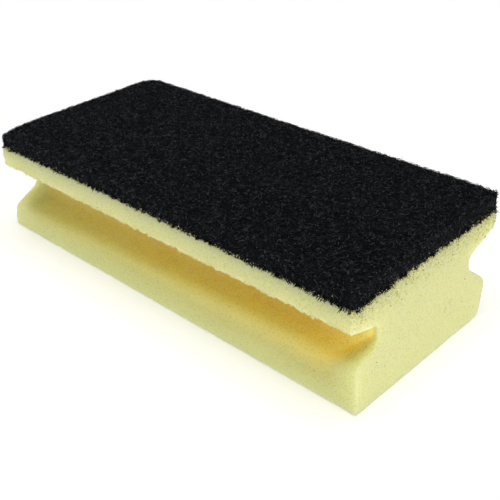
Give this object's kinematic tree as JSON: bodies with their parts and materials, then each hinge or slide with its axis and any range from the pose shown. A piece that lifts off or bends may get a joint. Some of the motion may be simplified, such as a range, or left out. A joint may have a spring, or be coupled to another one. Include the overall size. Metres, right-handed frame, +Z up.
{
  "type": "scouring sponge",
  "caption": "Rectangular cleaning sponge: yellow foam block with a finger groove along each long side and a black abrasive fleece pad laminated over the top.",
  "frame": {"origin": "middle of the sponge's outline in plan, on the surface that the foam's base stands on", "axes": "+X along the length, +Z up towards the scouring face, +Y across the width towards the side with the deeper groove"},
  "size_m": [0.15, 0.0684, 0.039],
  "materials": {
    "foam": "matte open-cell polyurethane foam",
    "adhesive": "satin dried laminating adhesive",
    "fleece": "matte resin-bonded nylon fleece with abrasive grain"
  },
  "bodies": {
    "root": {"foam_body": "foam", "adhesive_layer": "adhesive", "scouring_pad": "fleece"}
  },
  "joints": []
}
